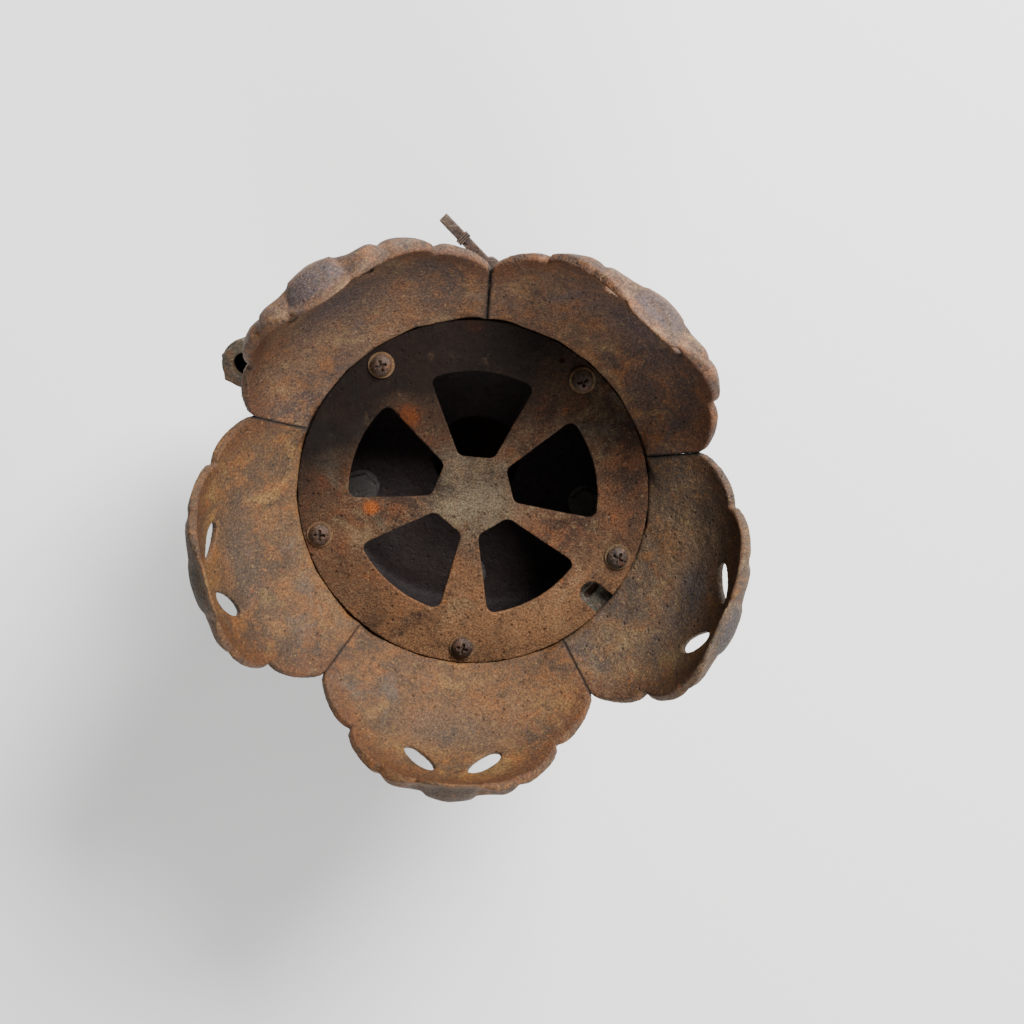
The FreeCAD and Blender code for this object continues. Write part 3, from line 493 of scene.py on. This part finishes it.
def rust(name, base, dark, warm, pale, cool, orange=0.5, cool_amount=0.5, worn_edges_and_highlight=0.3, rough=0.72,
         specular=0.35, lip=None):
    """Old iron: a brown ground, dark and ochre mottling, cool worn patches and orange rust spots."""
    s = Shader(name)
    broad = s.noise(22, 4, 0.55, 0.3)
    medium = s.noise(95, 8, 0.68, 0.5, (3.1, 0.2, 1.7))
    small = s.noise(330, 6, 0.7, 0.2, (0.7, 5.3, 2.2))
    grains = s.noise(1500, 3, 0.75)
    colour = s.mix(s.steps(broad, 0.35, 0.65), dark, base)
    colour = s.mix(s.steps(medium, 0.42, 0.66), colour, warm)
    dark_patches = s.steps(s.noise(64, 6, 0.66, 0.6, (5, 3, 8)), 0.54, 0.66)
    colour = s.mix(s.maths("MULTIPLY", dark_patches, 0.55), colour, dark)
    pale_patches = s.maths("MULTIPLY", s.steps(s.noise(48, 7, 0.7, 0.8, (9, 1, 4)), 0.52, 0.68), 0.6)
    colour = s.mix(pale_patches, colour, pale)
    cool_patches = s.steps(s.noise(34, 6, 0.62, 1.0, (2, 8, 6)), 0.55, 0.7)
    colour = s.mix(s.maths("MULTIPLY", cool_patches, cool_amount), colour, cool)
    hollow = s.maths("MULTIPLY", s.attribute("hollow"), s.steps(medium, 0.3, 0.55))
    colour = s.mix(s.maths("MULTIPLY", hollow, 0.8), colour, cool)
    rim = s.maths("MULTIPLY", s.attribute("lip"), s.steps(medium, 0.2, 0.55))
    colour = s.mix(s.maths("MULTIPLY", rim, 0.85), colour, lip or warm)
    blotch = s.maths("MULTIPLY", s.attribute("blotch"), s.steps(medium, 0.25, 0.5))
    colour = s.mix(s.maths("MULTIPLY", blotch, 0.85), colour, BLOTCH_RUST)
    spots = s.steps(s.noise(140, 5, 0.75, 0.4, (6, 6, 1)), 0.6, 0.7)
    colour = s.mix(s.maths("MULTIPLY", spots, orange), colour, FRESH_RUST)
    specks = s.steps(small, 0.52, 0.68)
    colour = s.mix(s.maths("MULTIPLY", specks, 0.7), colour, dark)
    light_specks = s.steps(s.noise(620, 4, 0.7, 0, (4, 2, 9)), 0.56, 0.68)
    colour = s.mix(s.maths("MULTIPLY", light_specks, 0.6), colour, pale)
    speckle = s.steps(s.noise(1100, 3, 0.8, 0, (7, 3, 5)), 0.4, 0.62)
    colour = s.mix(1.0, colour, s.mix(speckle, *SPECKLE), "MULTIPLY")
    holes = s.steps(s.cells(210), 0.2, 0.05)
    colour = s.mix(s.maths("MULTIPLY", holes, 0.6), colour, tuple(0.35 * part for part in dark))
    # paler convex edges: partly rubbed wear, partly a painted highlight on the lit ridges
    edge = s.steps(s.edges(), 0.53, 0.6)
    colour = s.mix(s.maths("MULTIPLY", edge, worn_edges_and_highlight), colour, pale)
    # painted shade: darker in concave creases and recesses
    crease_shade = s.steps(s.edges(), 0.48, 0.42)
    colour = s.mix(s.maths("MULTIPLY", crease_shade, 0.6), colour, tuple(0.4 * part for part in dark))
    roughness = s.maths("SUBTRACT", rough, s.maths("MULTIPLY", cool_patches, 0.18))
    roughness = s.maths("ADD", roughness, s.maths("MULTIPLY", specks, 0.12))
    height = s.maths("ADD", s.maths("MULTIPLY", small, 0.9), s.maths("MULTIPLY", grains, 0.35))
    height = s.maths("ADD", height, s.maths("MULTIPLY", medium, 1.2))
    height = s.maths("SUBTRACT", height, s.maths("MULTIPLY", holes, 0.5))
    s.bump(height, 0.0009, 0.8)
    # painted shade: near-black where the marked shadow falls (the plate's far side and rim, the
    # petals' seams)
    painted_shade = s.maths("MULTIPLY", s.attribute("painted_shade"), s.steps(medium, 0.1, 0.45))
    colour = s.mix(s.maths("MULTIPLY", painted_shade, 0.95), colour, tuple(0.16 * part for part in dark))
    # the inside of the pot and column: near-black as painted shade over wet iron, and glossier
    deep = s.attribute("inside")
    colour = s.mix(s.maths("MULTIPLY", deep, 0.85), colour, WET_BLACK_AND_SHADE)
    roughness = s.maths("SUBTRACT", roughness, s.maths("MULTIPLY", deep, 0.25))
    return s.finish(colour, roughness, specular)


def make_materials():
    """One material per kind of piece."""
    mats = {}
    # each petal's tint also paints the light and shade it gets
    for name, tint_and_light, orange in zip(PETALS, PETAL_TINTS_AND_LIGHT, PETAL_ORANGE):
        colours = {part: tuple(a * b for a, b in zip(colour, tint_and_light))
                   for part, colour in PETAL_COLOURS.items()}
        mats[name] = rust(f"{name}_rust", orange=orange, cool_amount=0.5, **colours)
    # the plate's lip colour is its near side: rust, painted lighter as lit
    mats["plate"] = rust("plate_rust", base=(0.072, 0.039, 0.021), dark=(0.022, 0.012, 0.009),
                         warm=(0.086, 0.035, 0.016), pale=(0.130, 0.090, 0.048),
                         cool=(0.084, 0.080, 0.056), lip=(0.160, 0.080, 0.036), orange=0.35,
                         cool_amount=0.45, rough=0.78, specular=0.12)
    mats["ring"] = rust("ring_patina", base=(0.085, 0.085, 0.060), dark=(0.030, 0.027, 0.021),
                        warm=(0.075, 0.052, 0.034), pale=(0.125, 0.122, 0.090),
                        cool=(0.078, 0.088, 0.068), orange=0.2, cool_amount=0.8)
    mats["pot"] = rust("pot_rust", base=(0.115, 0.066, 0.045), dark=(0.048, 0.029, 0.022),
                       warm=(0.120, 0.056, 0.030), pale=(0.165, 0.108, 0.076),
                       cool=(0.072, 0.064, 0.056), orange=0.3, cool_amount=0.4)
    mats["fitting"] = rust("fitting_patina", base=(0.046, 0.036, 0.022), dark=(0.018, 0.014, 0.010),
                           warm=(0.055, 0.030, 0.014), pale=(0.078, 0.064, 0.040),
                           cool=(0.038, 0.040, 0.028), orange=0.3, cool_amount=0.6)
    mats["steel"] = rust("screw_steel", base=(0.030, 0.017, 0.010), dark=(0.008, 0.005, 0.004),
                         warm=(0.044, 0.018, 0.008), pale=(0.090, 0.058, 0.036),
                         cool=(0.026, 0.022, 0.018), orange=0.4, worn_edges_and_highlight=0.6, rough=0.5, specular=0.3)
    mats["bolt"] = rust("bolt_steel", base=(0.050, 0.043, 0.038), dark=(0.018, 0.015, 0.013),
                        warm=(0.052, 0.032, 0.020), pale=(0.120, 0.108, 0.096),
                        cool=(0.044, 0.044, 0.043), orange=0.2, worn_edges_and_highlight=0.5, rough=0.45, specular=0.6)
    mats["arm"] = rust("arm_rust", base=(0.070, 0.044, 0.031), dark=(0.030, 0.020, 0.016),
                       warm=(0.085, 0.041, 0.021), pale=(0.130, 0.096, 0.070),
                       cool=(0.060, 0.052, 0.044), orange=0.4, worn_edges_and_highlight=0.5)
    mats["rubber"] = rust("old_gasket", base=(0.020, 0.018, 0.017), dark=(0.009, 0.008, 0.008),
                          warm=(0.028, 0.022, 0.018), pale=(0.045, 0.040, 0.034),
                          cool=(0.022, 0.022, 0.022), orange=0.05, worn_edges_and_highlight=0.2, rough=0.85)
    return mats


# ---------------------------------------------------------------- pieces

def mark_inside(piece):
    """Attribute that is 1 on the inside of the pot and column: wet iron, painted near-black as its
    shade.
    """
    values = []
    for vertex in piece.data.vertices:
        inward = -(vertex.normal.xy.dot(vertex.co.xy.normalized()))
        floor = vertex.normal.z > 0.7 and 0.08 < vertex.co.z < 0.1 and vertex.co.xy.length < 0.08
        values.append(1.0 if floor else smooth_step(inward, 0.05, 0.3))
    layer = piece.data.attributes.new("inside", "FLOAT", "POINT")
    layer.data.foreach_set("value", values)


def mark_plate_shade_and_rust(plate):
    """Painted shadow of the upper petals on the plate's far side and painted shade towards its rim,
    a verdigris hub, a rusty near side painted lighter where the light falls, and fresh blotches.
    """
    painted_shade, blotch, hollow, lip = [], [], [], []
    for vertex in plate.data.vertices:
        place = vertex.co * 1000
        # painted shadow: the plate darkens towards its far side and left, where the upper petals
        # shade it, less so on the right; painted shade also darkens it towards the rim under the
        # petals
        far_shadow = smooth_step(place.y - 0.2 * place.x, -12, 58)
        far_shadow *= 1 - 0.45 * smooth_step(place.x, 10, 50)
        rim = smooth_step(place.xy.length, 50, 76)
        unevenness = 0.25 * noise.noise(vertex.co * 60)
        painted_shade.append(min(1.0, max(0.0, far_shadow + 0.3 * rim + unevenness)))
        near = min((place.xy - Vector(spot)).length / size for spot, size in RUST_BLOTCHES)
        blotch.append(1 - smooth_step(near, 0.4, 1.2))
        hollow.append(0.75 - 0.75 * smooth_step(place.xy.length + 40 * unevenness, 4, 34))
        # the near side is painted lighter and more orange: rust colour with painted light where the
        # lamp falls
        lip.append(0.8 * smooth_step(-place.y + 0.2 * place.x + 60 * unevenness, 12, 70))
    marks = {"painted_shade": painted_shade, "blotch": blotch, "hollow": hollow, "lip": lip}
    for name, values in marks.items():
        layer = plate.data.attributes.new(name, "FLOAT", "POINT")
        layer.data.foreach_set("value", values)


def make_plain_pieces(mats):
    """Rusted stand-ins for the larger plain pieces."""
    # name, voxel, rounding, swell, pits, material, slot
    table = (
        ("drain_plate", 0.6, 3, 0.10, 0.10, "plate", "plate_iron"),
        ("seat_ring", 0.8, 2, 0.10, 0.08, "ring", "green_iron"),
        ("pot_body", 1.3, 4, 0.40, 0.20, "pot", "pot_iron"),
        ("column", 1.2, 3, 0.25, 0.15, "pot", "pot_iron"),
        ("foot", 1.4, 4, 0.35, 0.15, "pot", "pot_iron"),
        ("filler_elbow", 0.5, 5, 0.15, 0.12, "fitting", "fitting_iron"),
        ("filler_bushing", 0.4, 2, 0.08, 0.08, "fitting", "fitting_iron"),
        ("filler_locknut", 0.4, 2, 0.08, 0.06, "fitting", "fitting_iron"),
        ("plate_screws", 0.25, 2, 0.05, 0.05, "steel", "screw_steel"),
        ("tie_arm", 0.3, 2, 0.08, 0.08, "arm", "arm_iron"),
        ("tie_pin", 0.3, 2, 0.05, 0.05, "arm", "arm_iron"),
    )
    for seed, (name, voxel, rounding, swell, pits, look, slot) in enumerate(table):
        piece = weathered(name, voxel, rounding, swell, pits, seed * PIECE_SEED)
        piece.data.materials.append(mats[look])
        if name in ("pot_body", "column"):
            mark_inside(piece)
        if look == "plate":
            mark_plate_shade_and_rust(piece)
        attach(piece, "tie_arm" if name == "tie_arm" else "planter")


def finish_cad_nodes(mats):
    """Small CAD pieces keep their shape and get a weathered material."""
    looks = {"plate_washers": "plate", "floor_bolts": "bolt", "floor_washers": "bolt",
             "floor_nuts": "bolt", "base_bolts": "bolt", "base_washers": "bolt",
             "filler_nipple": "fitting", "filler_seal": "rubber", "floor_gasket": "rubber",
             "tie_wire": "arm"}
    for name, look in looks.items():
        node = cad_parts[name]
        node.data.materials.clear()
        node.data.materials.append(mats[look])


# ---------------------------------------------------------------- studio

def make_floor():
    bpy.ops.mesh.primitive_plane_add(size=FLOOR_SIZE, location=(0, 0, 0))
    floor = bpy.context.object
    floor.name = "studio_floor"
    s = Shader("pale_floor")
    tone = s.mix(s.noise(3, 3, 0.5), *FLOOR_TONES)
    s.surface.inputs["Roughness"].default_value = 0.9
    s.surface.inputs["Specular IOR Level"].default_value = 0.1
    s.link(tone, s.surface.inputs["Base Color"])
    floor.data.materials.append(s.material)


def make_light(name, place, target, size, power):
    data = bpy.data.lights.new(name, "AREA")
    data.shape = "DISK"
    data.size = size
    data.energy = power
    lamp = bpy.data.objects.new(name, data)
    bpy.context.scene.collection.objects.link(lamp)
    lamp.location = place
    lamp.rotation_euler = (target - place).to_track_quat("-Z", "Y").to_euler()


def make_studio():
    make_floor()
    target = Vector((0, 0, PLATE_TOP))
    for name, place, size, power in LAMPS:
        make_light(name, Vector(place), target, size, power)
    world = bpy.data.worlds.new("studio")
    world.use_nodes = True
    background = world.node_tree.nodes["Background"]
    background.inputs[0].default_value = (1.0, 1.0, 1.0, 1.0)
    background.inputs[1].default_value = WORLD_STRENGTH
    bpy.context.scene.world = world


def make_camera():
    """Nearly straight down the flower's axis, from a little way towards +Y."""
    back = Vector((0, math.sin(CAMERA_TILT), math.cos(CAMERA_TILT)))
    right = Vector((1, 0, 0))
    up = back.cross(right)
    centre = Vector((0, 0, PLATE_TOP))
    place = centre + back * CAMERA_DISTANCE + right * CAMERA_SHIFT[0] + up * CAMERA_SHIFT[1]
    data = bpy.data.cameras.new("camera")
    data.sensor_width = SENSOR_WIDTH
    data.lens = CAMERA_LENS
    data.clip_start = 0.01
    camera = bpy.data.objects.new("camera", data)
    bpy.context.scene.collection.objects.link(camera)
    camera.matrix_world = Matrix.Translation(place) @ Matrix((right, up, back)).transposed().to_4x4()
    bpy.context.scene.camera = camera


def main():
    make_camera()
    mats = make_materials()
    make_petals([mats[name] for name in PETALS])
    make_plain_pieces(mats)
    finish_cad_nodes(mats)
    make_studio()


main()
